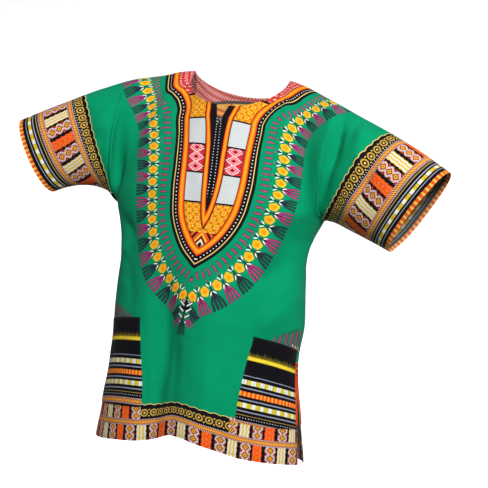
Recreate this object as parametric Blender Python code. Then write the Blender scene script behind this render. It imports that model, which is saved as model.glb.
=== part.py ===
"""Dashiki shirt in the hollow form it has when worn, with both sleeves held out.

Metres, Z up, the front faces -Y. The origin is midway between the two neck
points, at the height of the shoulders. left is at -X and right is at +X.
The front and the back are cut in one with their half of each sleeve, so the
shirt has a seam along each shoulder and sleeve top, and one along each
underarm and side.
"""

import math
from collections import namedtuple

import bpy
import numpy as np

# Cloth
WALL = 0.0012  # thickness of a panel
PATCH_WALL = 0.0010  # thickness of a pocket or strip
GAP = 0.0003  # between pieces that are sewn together

# Neck
NECK_HALF_WIDTH = 0.115
NECK_DROP = {"front": 0.088, "back": 0.030}
NECK_REACH = {"front": 0.085, "back": 0.070}  # how far the neck edge stands off the shoulder line
SLIT_HALF_WIDTH = 0.0135
SLIT_BOTTOM_Z = -0.134
SLIT_BOTTOM_REACH = 0.101

# Levels
ARMPIT_Z = -0.300
VENT_TOP_Z = -0.610
HEM_BORDER_TOP_Z = -0.740
HEM_Z = -0.820
POCKET_TOP_Z = -0.553
POCKET_BOTTOM_Z = -0.748
VENT_SPREAD = 0.018  # how far a vent edge stands off the middle plane at the hem

# Shoulder and sleeve top seam of each side: distance out, y, z
TOP_SEAM = {
    "left": {
        "out": (0.115, 0.155, 0.181, 0.240, 0.325, 0.400, 0.481),
        "y": (0.000, 0.000, 0.000, -0.010, -0.040, -0.070, -0.100),
        "z": (0.007, 0.002, -0.005, -0.021, -0.060, -0.103, -0.150),
    },
    "right": {
        "out": (0.115, 0.150, 0.184, 0.280, 0.363, 0.430, 0.495),
        "y": (0.000, 0.000, -0.002, -0.022, -0.050, -0.075, -0.100),
        "z": (-0.007, -0.018, -0.033, -0.080, -0.121, -0.158, -0.199),
    },
}

# Underarm seam of each side: share of the way from armpit to cuff, out, y, z
UNDER_SEAM = {
    "left": {
        "share": (0.00, 0.14, 0.35, 0.60, 0.85, 1.00),
        "out": (0.264, 0.279, 0.307, 0.341, 0.379, 0.400),
        "y": (0.000, -0.006, -0.020, -0.040, -0.062, -0.078),
        "z": (-0.306, -0.289, -0.278, -0.278, -0.291, -0.305),
    },
    "right": {
        "share": (0.00, 0.14, 0.35, 0.60, 0.85, 1.00),
        "out": (0.230, 0.254, 0.287, 0.326, 0.369, 0.395),
        "y": (0.000, -0.005, -0.018, -0.038, -0.062, -0.078),
        "z": (-0.300, -0.303, -0.315, -0.330, -0.347, -0.358),
    },
}

# Sleeve: share of the way from the armhole line to the cuff, half depth of each
SLEEVE = {
    "share": (0.0, 0.3, 0.6, 1.0),
    "left": (0.086, 0.077, 0.066, 0.055),
    "right": (0.088, 0.080, 0.070, 0.062),
}
ARMHOLE_OUT = 0.250

# Body rings: height, half width, depth to the front and to the back, sideways shift
BODY = {
    "z": (-0.820, -0.720, -0.610, -0.533, -0.385, -0.345, -0.300),
    "half_width": (0.238, 0.226, 0.216, 0.221, 0.217, 0.227, 0.245),
    "front": (0.146, 0.143, 0.139, 0.140, 0.141, 0.139, 0.136),
    "back": (0.136, 0.131, 0.126, 0.125, 0.130, 0.130, 0.128),
    "shift": (0.016, 0.009, 0.000, -0.002, -0.012, -0.015, -0.015),
}

# Height of the hem above its level, from one side of the front to the other
HEM_WAVE = {
    "x": (-0.240, -0.130, -0.067, -0.034, 0.014, 0.032, 0.092, 0.153, 0.250),
    "front": (-0.027, -0.010, 0.001, 0.011, 0.028, 0.028, 0.017, 0.005, 0.000),
    "back": (-0.014, -0.004, 0.003, 0.002, -0.002, -0.001, 0.004, 0.001, 0.000),
}

# Ring shares of each pocket's inner edge at its bottom, and of a vent strip's inner edge
POCKET_INNER_RING = {"left": 0.240, "right": 0.380}
STRIP_INNER_RING = 0.955
POCKET_TO_STRIP = 0.0006

# Pockets taper toward their tops, which slope down toward the sides
POCKET_TAPER = 0.105  # in ring share
POCKET_SLOPE = 0.032

# Columns of a half panel: share of the quarter ring, and how far out its top is
COLUMNS = {
    "ring": (0.030, 0.060, 0.105, 0.150, 0.195, 0.240, 0.285, 0.330, 0.380, 0.430,
             0.485, 0.545, 0.610, 0.675, 0.740, 0.800, 0.855, 0.905, 0.955, 1.000),
    "top": (0.0068, 0.0135, 0.030, 0.046, 0.061, 0.075, 0.088, 0.099, 0.108, 0.115,
            0.128, 0.143, 0.160, 0.177, 0.194, 0.209, 0.222, 0.233, 0.242, 0.250),
}
SLEEVE_COLUMNS = 9
UPPER_ROWS = 12
NECK_COLUMN = 10  # the column that starts at the neck point

# Rows below the armpit
LOWER_Z = (-0.345, -0.390, -0.435, -0.480, -0.520, -0.553, -0.583, -0.610,
           -0.643, -0.677, -0.711, -0.740, -0.748, -0.784, -0.820)

# Large folds as seen from the front: ends, half width, and height, which is below 0 in a trough
Fold = namedtuple("Fold", "panel x1 z1 x2 z2 half_width height")
FOLDS = (
    # Troughs where the sleeves hang from the shoulders
    Fold("front", -0.256, -0.070, -0.250, -0.285, 0.014, -0.013),
    Fold("front", 0.256, -0.085, 0.232, -0.265, 0.015, -0.009),
    Fold("back", -0.254, -0.070, -0.246, -0.270, 0.014, -0.010),
    Fold("back", 0.252, -0.090, 0.238, -0.270, 0.014, -0.009),
    # Long folds that fall to the hem
    Fold("front", -0.104, -0.440, -0.040, -0.830, 0.015, 0.008),
    Fold("front", -0.078, -0.450, -0.013, -0.830, 0.015, -0.007),
    Fold("front", 0.120, -0.600, 0.140, -0.830, 0.018, 0.006),
    Fold("front", 0.010, -0.690, -0.005, -0.830, 0.022, 0.003),
    Fold("back", -0.110, -0.360, -0.075, -0.830, 0.020, 0.007),
    Fold("back", 0.070, -0.420, 0.100, -0.830, 0.020, -0.006),
    Fold("back", 0.000, -0.620, -0.012, -0.830, 0.020, 0.006),
    # Slanting folds below the armpits
    Fold("front", 0.214, -0.345, 0.130, -0.455, 0.014, -0.005),
    Fold("front", 0.190, -0.380, 0.120, -0.520, 0.016, 0.004),
    Fold("front", -0.215, -0.350, -0.120, -0.420, 0.015, -0.004),
    Fold("front", -0.150, -0.330, -0.170, -0.560, 0.018, 0.003),
    Fold("front", 0.095, -0.400, 0.030, -0.480, 0.015, 0.002),
    Fold("back", -0.200, -0.340, -0.110, -0.440, 0.015, -0.005),
    Fold("back", 0.205, -0.345, 0.120, -0.460, 0.015, -0.005),
    # Soft folds on the sleeves
    Fold("front", -0.335, -0.090, -0.300, -0.210, 0.015, -0.004),
    Fold("front", 0.340, -0.140, 0.300, -0.260, 0.015, -0.004),
    Fold("back", -0.330, -0.085, -0.310, -0.230, 0.016, -0.004),
    Fold("back", 0.345, -0.140, 0.315, -0.270, 0.016, -0.004),
)

# Colour and roughness of each cloth
PRINTED_COTTON = {"colour": (0.012, 0.360, 0.160), "roughness": 0.90}
POCKET_COTTON = {"colour": (0.030, 0.028, 0.035), "roughness": 0.90}
VENT_TAPE = {"colour": (0.900, 0.110, 0.020), "roughness": 0.75}


def ease(x):
    """Runs smoothly from 0 to 1 as x does."""
    x = min(max(x, 0.0), 1.0)
    return x * x * (3 - 2 * x)


def side_name(side):
    return "left" if side < 0 else "right"


def facing(panel):
    """-1 for the front, which faces -Y, and 1 for the back."""
    return -1.0 if panel == "front" else 1.0


def top_seam(side, out):
    rows = TOP_SEAM[side_name(side)]
    y = np.interp(out, rows["out"], rows["y"])
    z = np.interp(out, rows["out"], rows["z"])
    return np.array([side * out, y, z])


def under_seam(side, share):
    rows = UNDER_SEAM[side_name(side)]
    out = np.interp(share, rows["share"], rows["out"])
    y = np.interp(share, rows["share"], rows["y"])
    z = np.interp(share, rows["share"], rows["z"])
    return np.array([side * out, y, z])


def neck_edge(panel, side, out):
    """The edge of the neck opening, with the slit at the middle of the front."""
    drop = NECK_DROP[panel]
    reach = NECK_REACH[panel]
    lean = top_seam(side, NECK_HALF_WIDTH)[2] * out / NECK_HALF_WIDTH
    across = math.sqrt(max(0.0, 1 - (out / NECK_HALF_WIDTH) ** 2))
    y = facing(panel) * reach * across
    z = lean - drop * across
    if panel == "front" and out < SLIT_HALF_WIDTH:
        down = 1 - out / SLIT_HALF_WIDTH
        y = y + down * (-SLIT_BOTTOM_REACH - y)
        z = z + down * (SLIT_BOTTOM_Z - z)
    return np.array([side * out, y, z])


def ring_point(panel, side, share, level):
    """A point of the body at a level, share of the way from its middle to its side."""
    z = level
    if panel == "front":
        above = ease((level - POCKET_BOTTOM_Z) / (POCKET_TOP_Z - POCKET_BOTTOM_Z))
        below = ease((LOWER_Z[0] - level) / (LOWER_Z[0] - POCKET_TOP_Z))
        z = level - POCKET_SLOPE * share * ease((level - VENT_TOP_Z) / (POCKET_TOP_Z - VENT_TOP_Z)) * below
        share = share + POCKET_TAPER * above * below * math.sin(math.pi * min(share / STRIP_INNER_RING, 1.0))
    angle = share * math.pi / 2
    half_width = np.interp(z, BODY["z"], BODY["half_width"])
    depth = np.interp(z, BODY["z"], BODY[panel])
    shift = np.interp(z, BODY["z"], BODY["shift"])
    x = shift + side * half_width * math.sin(angle)
    y = facing(panel) * depth * math.cos(angle)
    if z < VENT_TOP_Z:
        open_share = ease((VENT_TOP_Z - z) / (VENT_TOP_Z - HEM_Z))
        y = y + facing(panel) * VENT_SPREAD * open_share * ease((share - 0.75) / 0.25)
        z = z + open_share * np.interp(x, HEM_WAVE["x"], HEM_WAVE[panel])
    return np.array([x, y, z])


def hermite(p0, p1, t0, t1, v):
    a = 2 * v**3 - 3 * v**2 + 1
    b = v**3 - 2 * v**2 + v
    c = -2 * v**3 + 3 * v**2
    d = v**3 - v**2
    return a * p0 + b * t0 + c * p1 + d * t1


def body_column(panel, side, number):
    """A column of the upper panel from the neck edge or shoulder seam to the armpit ring."""
    ring = 0.0 if number == 0 else COLUMNS["ring"][number - 1]
    out = 0.0 if number == 0 else COLUMNS["top"][number - 1]
    face = facing(panel)
    if number < NECK_COLUMN:
        start = neck_edge(panel, side, out)
    else:
        start = top_seam(side, out)
    end = ring_point(panel, side, ring, ARMPIT_Z)
    if ring == 1.0:
        end = under_seam(side, 0.0)
    fall = start[2] - end[2]
    reach = abs(end[1] - start[1])
    over = ease((out - 0.08) / 0.05)
    forward = (1 - over) * 0.075 + over * (1.15 * reach + 0.075)
    leave = np.array([0.0, face * forward, -fall * (0.95 - 0.75 * over)])
    arrive = np.array([0.0, 0.0, -fall * (0.85 + 0.45 * over)])
    round_depth = SLEEVE[side_name(side)][0]
    sleeve_leave = np.array([0.0, face * 4 * round_depth, 0.0])
    sleeve_arrive = np.array([0.0, -face * 4 * round_depth, 0.0])
    w = ease((ring - 0.55) / 0.45)
    leave = (1 - w) * leave + w * sleeve_leave
    arrive = (1 - w) * arrive + w * sleeve_arrive
    steps = np.linspace(0, 1, UPPER_ROWS + 1)
    return [hermite(start, end, leave, arrive, v) for v in steps]


def sleeve_column(panel, side, share):
    """A half ring of the sleeve from its top seam to the underarm seam."""
    out = ARMHOLE_OUT + share * (TOP_SEAM[side_name(side)]["out"][-1] - ARMHOLE_OUT)
    start = top_seam(side, out)
    end = under_seam(side, share)
    half_depth = np.interp(share, SLEEVE["share"], SLEEVE[side_name(side)])
    leave = np.array([0.0, facing(panel) * 4 * half_depth, 0.0])
    arrive = np.array([0.0, -facing(panel) * 4 * half_depth, 0.0])
    steps = np.linspace(0, 1, UPPER_ROWS + 1)
    return [hermite(start, end, leave, arrive, v) for v in steps]


def fold_height(panel, x, z):
    """How far the large folds lift the cloth at a place seen from the front."""
    total = 0.0
    for fold in FOLDS:
        if fold.panel != panel:
            continue
        start = np.array([fold.x1, fold.z1])
        along = np.array([fold.x2, fold.z2]) - start
        way = np.array([x, z]) - start
        share = np.dot(way, along) / np.dot(along, along)
        off = np.linalg.norm(way - min(max(share, 0), 1) * along)
        fade = ease(share / 0.3)
        if fold.z2 > HEM_Z:
            fade *= ease((1 - share) / 0.3)
        total += fold.height * fade * math.exp(-((off / fold.half_width) ** 2))
    return total


def panel_grid(panel):
    """Points, faces, and the numbers of the points by row and column."""
    columns = []
    seam_share = []
    last = len(COLUMNS["ring"])
    for side in (-1.0, 1.0):
        half = [body_column(panel, side, n) for n in range(0 if side > 0 else 1, last + 1)]
        half_seam = [0.0 if n == 0 else COLUMNS["ring"][n - 1] for n in range(0 if side > 0 else 1, last + 1)]
        sleeve = [sleeve_column(panel, side, (n + 1) / SLEEVE_COLUMNS) for n in range(SLEEVE_COLUMNS)]
        half = half + sleeve
        half_seam = half_seam + [1.0 + (n + 1) / SLEEVE_COLUMNS for n in range(SLEEVE_COLUMNS)]
        if side < 0:
            half = half[::-1]
            half_seam = [-value for value in half_seam[::-1]]
        columns += half
        seam_share += half_seam
    count = len(columns)
    points = []
    number = {}
    for row in range(UPPER_ROWS + 1):
        for column in range(count):
            number[row, column] = len(points)
            points.append(columns[column][row])
    first = SLEEVE_COLUMNS
    final = count - 1 - SLEEVE_COLUMNS
    for step, z in enumerate(LOWER_Z):
        row = UPPER_ROWS + 1 + step
        for column in range(first, final + 1):
            share = seam_share[column]
            side = -1.0 if share < 0 else 1.0
            number[row, column] = len(points)
            points.append(ring_point(panel, side, abs(share), z))
    faces = []
    rows = UPPER_ROWS + len(LOWER_Z)
    for row in range(rows):
        for column in range(count - 1):
            corners = [(row, column), (row, column + 1), (row + 1, column + 1), (row + 1, column)]
            if all(corner in number for corner in corners):
                face = [number[corner] for corner in corners]
                faces.append(face if panel == "back" else turned(face))
    return np.array(points), faces, number, seam_share


def point_normals(points, faces):
    normals = np.zeros_like(points)
    for face in faces:
        a, b, c, d = (points[i] for i in face)
        normal = np.cross(c - a, d - b)
        for i in face:
            normals[i] += normal
    return normals / np.linalg.norm(normals, axis=1)[:, None]


def on_seam(row, share):
    """Whether a point lies on the shoulder, underarm or side seam."""
    top = row == 0 and abs(share) >= COLUMNS["ring"][NECK_COLUMN - 1]
    under = row == UPPER_ROWS and abs(share) >= 1.0
    side = row > UPPER_ROWS and abs(share) == 1.0
    return top or under or side


def shaped_panel(panel):
    """The panel's inner points with its folds, its faces, its outward directions and its grid."""
    points, faces, number, seam_share = panel_grid(panel)
    normals = point_normals(points, faces)
    for (row, column), i in number.items():
        share = abs(seam_share[column])
        calm = ease(row / 3) if share >= COLUMNS["ring"][NECK_COLUMN - 1] else 1.0
        if share >= 1.0:
            calm = min(calm, ease((UPPER_ROWS - row) / 3))
        else:
            calm = calm * ease((1 - share) / 0.12)
        points[i] = points[i] + normals[i] * calm * fold_height(panel, points[i][0], points[i][2])
    normals = point_normals(points, faces)
    for (row, column), i in number.items():
        if on_seam(row, seam_share[column]):
            normals[i][1] = 0.0
            normals[i] /= np.linalg.norm(normals[i])
    points[:, 1] += facing(panel) * GAP / 2
    return points, faces, normals, number, seam_share


def turned(face):
    """The face seen from its other side, split along the same diagonal."""
    return [face[0]] + face[:0:-1]


def closed_wall(inner, outer, faces):
    """One closed body between two layers of points with the same faces."""
    count = len(inner)
    edges = {}
    for face in faces:
        for a, b in zip(face, face[1:] + face[:1]):
            edges[a, b] = True
    walls = [[i + count for i in face] for face in faces]
    walls += [turned(face) for face in faces]
    for a, b in edges:
        if (b, a) not in edges:
            walls.append([a, b, b + count, a + count])
    return np.vstack([inner, outer]), walls


def add_object(name, cloth, points, faces):
    used = sorted({i for face in faces for i in face})
    place = {i: n for n, i in enumerate(used)}
    mesh = bpy.data.meshes.new(name)
    mesh.from_pydata([tuple(points[i]) for i in used], [], [[place[i] for i in face] for face in faces])
    mesh.shade_smooth()
    mesh.set_sharp_from_angle(angle=math.radians(50))
    material = bpy.data.materials.new(name + "_cloth")
    material.use_nodes = True
    shader = material.node_tree.nodes["Principled BSDF"]
    shader.inputs["Base Color"].default_value = (*cloth["colour"], 1.0)
    shader.inputs["Roughness"].default_value = cloth["roughness"]
    shader.inputs["Metallic"].default_value = 0.0
    mesh.materials.append(material)
    piece = bpy.data.objects.new(name, mesh)
    bpy.context.scene.collection.objects.link(piece)


def add_panel(name):
    points, faces, normals, number, seam_share = shaped_panel(name)
    outer = points + normals * WALL
    add_object(name, PRINTED_COTTON, *closed_wall(points, outer, faces))
    return outer, normals, number, seam_share


def column_of(seam_share, share):
    return min(range(len(seam_share)), key=lambda column: abs(seam_share[column] - share))


def add_patch(name, cloth, panel_data, top_z, bottom_z, shares, pull_in):
    """A flat piece sewn on a panel: the panel's outer points moved out.

    shares are the ring shares of its two sides, and pull_in moves each side
    toward the middle of the piece, so that neighbours stay apart.
    """
    outer, normals, number, seam_share = panel_data
    columns = sorted(column_of(seam_share, share) for share in shares)
    rows = [UPPER_ROWS + 1 + n for n, z in enumerate(LOWER_Z) if bottom_z - 1e-9 <= z <= top_z + 1e-9]
    grid = {}
    inner = []
    ways = []
    for row in rows:
        for column in range(columns[0], columns[1] + 1):
            i = number[row, column]
            place = outer[i].copy()
            way = normals[i].copy()
            for edge, inside, pull in ((columns[0], 1, pull_in[0]), (columns[1], -1, pull_in[1])):
                if column == edge and pull:
                    j = number[row, column + inside]
                    share = pull / np.linalg.norm(outer[j] - outer[i])
                    place = place + share * (outer[j] - outer[i])
                    way = way + share * (normals[j] - normals[i])
            grid[row, column] = len(inner)
            inner.append(place)
            ways.append(way / np.linalg.norm(way))
    faces = []
    for row in rows[:-1]:
        for column in range(columns[0], columns[1]):
            face = [grid[row, column], grid[row, column + 1], grid[row + 1, column + 1], grid[row + 1, column]]
            faces.append(face if "back" in name else turned(face))
    inner = np.array(inner)
    ways = np.array(ways)
    low = inner + ways * GAP
    high = inner + ways * (GAP + PATCH_WALL)
    add_object(name, cloth, *closed_wall(low, high, faces))


for thing in list(bpy.data.objects):
    bpy.data.objects.remove(thing, do_unlink=True)

panels = {name: add_panel(name) for name in ("front", "back")}
for side in (-1, 1):
    pocket_shares = [side * POCKET_INNER_RING[side_name(side)], side * STRIP_INNER_RING]
    pocket_pull = (POCKET_TO_STRIP, 0.0) if side < 0 else (0.0, POCKET_TO_STRIP)
    add_patch("pocket_" + side_name(side), POCKET_COTTON, panels["front"], POCKET_TOP_Z,
              POCKET_BOTTOM_Z, pocket_shares, pocket_pull)
    strip_shares = [side * STRIP_INNER_RING, side * 1.0]
    for panel in ("front", "back"):
        add_patch("vent_strip_" + panel + "_" + side_name(side), VENT_TAPE, panels[panel],
                  VENT_TOP_Z, HEM_BORDER_TOP_Z, strip_shares, (0.0, 0.0))
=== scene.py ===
"""Looks of the dashiki shirt: printed cotton panels, pockets, vent strips, stitches, light and camera.

Metres, Z up, the front faces -Y, and the origin is midway between the neck
points. left is at -X and right is at +X, as in the photograph.
"""

import math
from collections import namedtuple

import bpy
import numpy as np
from mathutils import Matrix, Vector


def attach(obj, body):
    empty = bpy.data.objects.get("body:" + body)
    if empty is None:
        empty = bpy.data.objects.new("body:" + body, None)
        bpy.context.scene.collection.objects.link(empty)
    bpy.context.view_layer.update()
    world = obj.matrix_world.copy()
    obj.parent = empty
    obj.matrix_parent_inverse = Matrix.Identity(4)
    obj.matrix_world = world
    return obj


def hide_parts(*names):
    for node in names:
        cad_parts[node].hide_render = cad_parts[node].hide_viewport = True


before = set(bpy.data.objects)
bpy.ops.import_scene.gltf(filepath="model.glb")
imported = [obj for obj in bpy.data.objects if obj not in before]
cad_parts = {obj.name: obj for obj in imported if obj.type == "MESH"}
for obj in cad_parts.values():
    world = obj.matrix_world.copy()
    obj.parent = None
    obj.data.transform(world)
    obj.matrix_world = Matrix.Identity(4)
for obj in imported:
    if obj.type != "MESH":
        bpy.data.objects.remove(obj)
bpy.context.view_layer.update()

# Floor of the studio
STAGE_Z = -1.50

# Cloth
WALL = 0.0012
PATCH_WALL = 0.0010
GAP = 0.0003

# Neck
NECK_HALF_WIDTH = 0.115
NECK_DROP = {"front": 0.088, "back": 0.030}
NECK_REACH = {"front": 0.085, "back": 0.070}
SLIT_HALF_WIDTH = 0.0135
SLIT_BOTTOM_Z = -0.134
SLIT_BOTTOM_REACH = 0.101

# Levels
ARMPIT_Z = -0.300
VENT_TOP_Z = -0.610
HEM_BORDER_TOP_Z = -0.740
HEM_Z = -0.820
POCKET_TOP_Z = -0.553
POCKET_BOTTOM_Z = -0.748
VENT_SPREAD = 0.018

# Shoulder and sleeve top seam of each side: distance out, y, z
TOP_SEAM = {
    "left": {
        "out": (0.115, 0.155, 0.181, 0.240, 0.325, 0.400, 0.481),
        "y": (0.000, 0.000, 0.000, -0.010, -0.040, -0.070, -0.100),
        "z": (0.007, 0.002, -0.005, -0.021, -0.060, -0.103, -0.150),
    },
    "right": {
        "out": (0.115, 0.150, 0.184, 0.280, 0.363, 0.430, 0.495),
        "y": (0.000, 0.000, -0.002, -0.022, -0.050, -0.075, -0.100),
        "z": (-0.007, -0.018, -0.033, -0.080, -0.121, -0.158, -0.199),
    },
}

# Underarm seam of each side: share of the way from armpit to cuff, out, y, z
UNDER_SEAM = {
    "left": {
        "share": (0.00, 0.14, 0.35, 0.60, 0.85, 1.00),
        "out": (0.264, 0.279, 0.307, 0.341, 0.379, 0.400),
        "y": (0.000, -0.006, -0.020, -0.040, -0.062, -0.078),
        "z": (-0.306, -0.289, -0.278, -0.278, -0.291, -0.305),
    },
    "right": {
        "share": (0.00, 0.14, 0.35, 0.60, 0.85, 1.00),
        "out": (0.230, 0.254, 0.287, 0.326, 0.369, 0.395),
        "y": (0.000, -0.005, -0.018, -0.038, -0.062, -0.078),
        "z": (-0.300, -0.303, -0.315, -0.330, -0.347, -0.358),
    },
}

# Sleeve: share of the way from the armhole line to the cuff, half depth of each
SLEEVE = {
    "share": (0.0, 0.3, 0.6, 1.0),
    "left": (0.086, 0.077, 0.066, 0.055),
    "right": (0.088, 0.080, 0.070, 0.062),
}
ARMHOLE_OUT = 0.250

# Body rings: height, half width, depth to the front and to the back, sideways shift
BODY = {
    "z": (-0.820, -0.720, -0.610, -0.533, -0.385, -0.345, -0.300),
    "half_width": (0.238, 0.226, 0.216, 0.221, 0.217, 0.227, 0.245),
    "front": (0.146, 0.143, 0.139, 0.140, 0.141, 0.139, 0.136),
    "back": (0.136, 0.131, 0.126, 0.125, 0.130, 0.130, 0.128),
    "shift": (0.016, 0.009, 0.000, -0.002, -0.012, -0.015, -0.015),
}

# Height of the hem above its level, from one side to the other
HEM_WAVE = {
    "x": (-0.240, -0.130, -0.067, -0.034, 0.014, 0.032, 0.092, 0.153, 0.250),
    "front": (-0.027, -0.010, 0.001, 0.011, 0.028, 0.028, 0.017, 0.005, 0.000),
    "back": (-0.014, -0.004, 0.003, 0.002, -0.002, -0.001, 0.004, 0.001, 0.000),
}

# Ring shares of each pocket's inner edge at its bottom, and of a vent strip's inner edge
POCKET_INNER_RING = {"left": 0.240, "right": 0.380}
STRIP_INNER_RING = 0.955
POCKET_TAPER = 0.105
POCKET_SLOPE = 0.032

# Columns of a half panel: share of the quarter ring, and how far out its top is
COLUMNS = {
    "ring": (0.000, 0.030, 0.060, 0.105, 0.150, 0.195, 0.240, 0.285, 0.330, 0.380, 0.430,
             0.485, 0.545, 0.610, 0.675, 0.740, 0.800, 0.855, 0.905, 0.955, 1.000),
    "top": (0.000, 0.0068, 0.0135, 0.030, 0.046, 0.061, 0.075, 0.088, 0.099, 0.108, 0.115,
            0.128, 0.143, 0.160, 0.177, 0.194, 0.209, 0.222, 0.233, 0.242, 0.250),
}
NECK_RING = 0.430
COLUMN_SPLIT = 3
SLEEVE_COLUMNS = 42
UPPER_ROWS = 60
ROW_HEIGHT = 0.0052
LOWER_Z = (-0.300, -0.345, -0.390, -0.435, -0.480, -0.520, -0.553, -0.583, -0.610,
           -0.643, -0.677, -0.711, -0.740, -0.748, -0.784, -0.820)

# The flat cut, down from the shoulder line, and the length of each sleeve along its top seam
RING_DOWN = -0.345
HEM_DOWN = RING_DOWN + HEM_Z - ARMPIT_Z
SLEEVE_RUN = {"left": 0.277, "right": 0.293}

# Half outlines of the print on the flat cut: out from the middle, down from the shoulder line
OUTLINES = {
    "front": {
        "yoke": ((0.186, 0.030), (0.184, 0.000), (0.173, -0.050), (0.155, -0.088), (0.129, -0.104),
                 (0.113, -0.126), (0.105, -0.175), (0.098, -0.225), (0.094, -0.275), (0.091, -0.320),
                 (0.086, -0.365), (0.073, -0.404), (0.045, -0.448), (0.000, -0.489)),
        "strokes": ((0.206, 0.030), (0.204, 0.000), (0.192, -0.058), (0.166, -0.106), (0.134, -0.136),
                    (0.123, -0.180), (0.116, -0.230), (0.112, -0.275), (0.109, -0.325), (0.103, -0.374),
                    (0.088, -0.418), (0.060, -0.460), (0.030, -0.492), (0.000, -0.507)),
        "ring": ((0.240, 0.030), (0.236, 0.000), (0.216, -0.060), (0.180, -0.122), (0.157, -0.180),
                 (0.148, -0.240), (0.142, -0.300), (0.134, -0.360), (0.118, -0.420), (0.090, -0.475),
                 (0.050, -0.519), (0.000, -0.553)),
        "slit": ((0.046, 0.030), (0.044, -0.080), (0.036, -0.130), (0.028, -0.180), (0.023, -0.240),
                 (0.020, -0.300), (0.015, -0.350), (0.008, -0.383), (0.000, -0.404)),
    },
    "back": {
        "yoke": ((0.186, 0.030), (0.184, 0.000), (0.172, -0.045), (0.147, -0.090), (0.104, -0.126),
                 (0.052, -0.146), (0.000, -0.152)),
        "strokes": ((0.206, 0.030), (0.204, 0.000), (0.190, -0.050), (0.161, -0.102), (0.112, -0.143),
                    (0.055, -0.164), (0.000, -0.170)),
        "ring": ((0.240, 0.030), (0.236, 0.000), (0.220, -0.060), (0.186, -0.118), (0.132, -0.168),
                 (0.068, -0.196), (0.000, -0.205)),
        "slit": ((0.001, 0.100), (0.001, 0.060), (0.000, 0.030)),
    },
}

# Motifs along each half outline; the half over puts one on the middle line
STROKES = {"front": 47.5, "back": 23.5}
BUDS = {"front": 23.5, "back": 11.5}
BUD_PITCH = 0.0298
YOKE_BLOCK = 0.0648

# How far the worn print's middle line strays to the right, by height on the flat cut
DRIFT_DOWN = (-0.614, -0.489, -0.387, -0.304, -0.236, -0.150)
DRIFT = {"front": (0.000, 0.018, 0.033, 0.032, 0.020, 0.000), "back": (0.0,) * 6}

# Folds as seen from the front: ends, half width, and height, which is below 0 in a trough
Fold = namedtuple("Fold", "panel x1 z1 x2 z2 half_width height")
LARGE_FOLDS = (
    # Troughs where the sleeves hang from the shoulders
    Fold("front", -0.243, -0.060, -0.246, -0.330, 0.013, -0.014),
    Fold("front", 0.268, -0.070, 0.230, -0.300, 0.013, -0.021),
    Fold("back", -0.252, -0.280, -0.254, -0.070, 0.014, -0.015),
    Fold("back", 0.240, -0.270, 0.252, -0.090, 0.014, -0.014),
    # Long folds that fall to the hem
    Fold("front", -0.070, -0.400, -0.042, -0.850, 0.032, -0.023),
    Fold("front", 0.046, -0.420, 0.060, -0.850, 0.042, 0.014),
    Fold("front", -0.024, -0.520, 0.008, -0.850, 0.013, -0.004),
    Fold("front", 0.138, -0.440, 0.124, -0.850, 0.016, -0.005),
    Fold("front", 0.178, -0.480, 0.182, -0.850, 0.018, -0.006),
    Fold("back", -0.110, -0.360, -0.075, -0.850, 0.020, 0.010),
    Fold("back", -0.026, -0.300, -0.034, -0.850, 0.026, -0.012),
    Fold("back", 0.070, -0.420, 0.100, -0.850, 0.020, -0.011),
    Fold("back", 0.114, -0.340, 0.146, -0.850, 0.022, 0.009),
    # Slanting folds below the armpits
    Fold("front", 0.196, -0.325, 0.150, -0.475, 0.020, -0.013),
    Fold("front", 0.224, -0.288, 0.128, -0.335, 0.014, 0.006),
    Fold("front", 0.214, -0.440, 0.144, -0.570, 0.018, 0.006),
    Fold("front", -0.222, -0.340, -0.140, -0.400, 0.015, -0.006),
    Fold("front", -0.208, -0.370, -0.150, -0.520, 0.018, 0.005),
    Fold("front", -0.190, -0.400, -0.130, -0.560, 0.016, -0.005),
    Fold("back", -0.205, -0.335, -0.110, -0.440, 0.016, -0.008),
    Fold("back", -0.210, -0.390, -0.130, -0.520, 0.016, 0.005),
    Fold("back", 0.205, -0.345, 0.120, -0.460, 0.016, -0.008),
    Fold("back", 0.200, -0.400, 0.120, -0.540, 0.016, 0.005),
    # Soft folds on the sleeves
    Fold("front", -0.276, -0.085, -0.288, -0.180, 0.015, 0.006),
    Fold("front", -0.335, -0.090, -0.300, -0.230, 0.015, -0.007),
    Fold("front", 0.296, -0.100, 0.318, -0.210, 0.016, 0.006),
    Fold("front", 0.352, -0.140, 0.312, -0.290, 0.015, -0.007),
    Fold("back", -0.330, -0.085, -0.310, -0.230, 0.016, -0.006),
    Fold("back", 0.345, -0.140, 0.315, -0.270, 0.016, -0.006),
)

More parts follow.
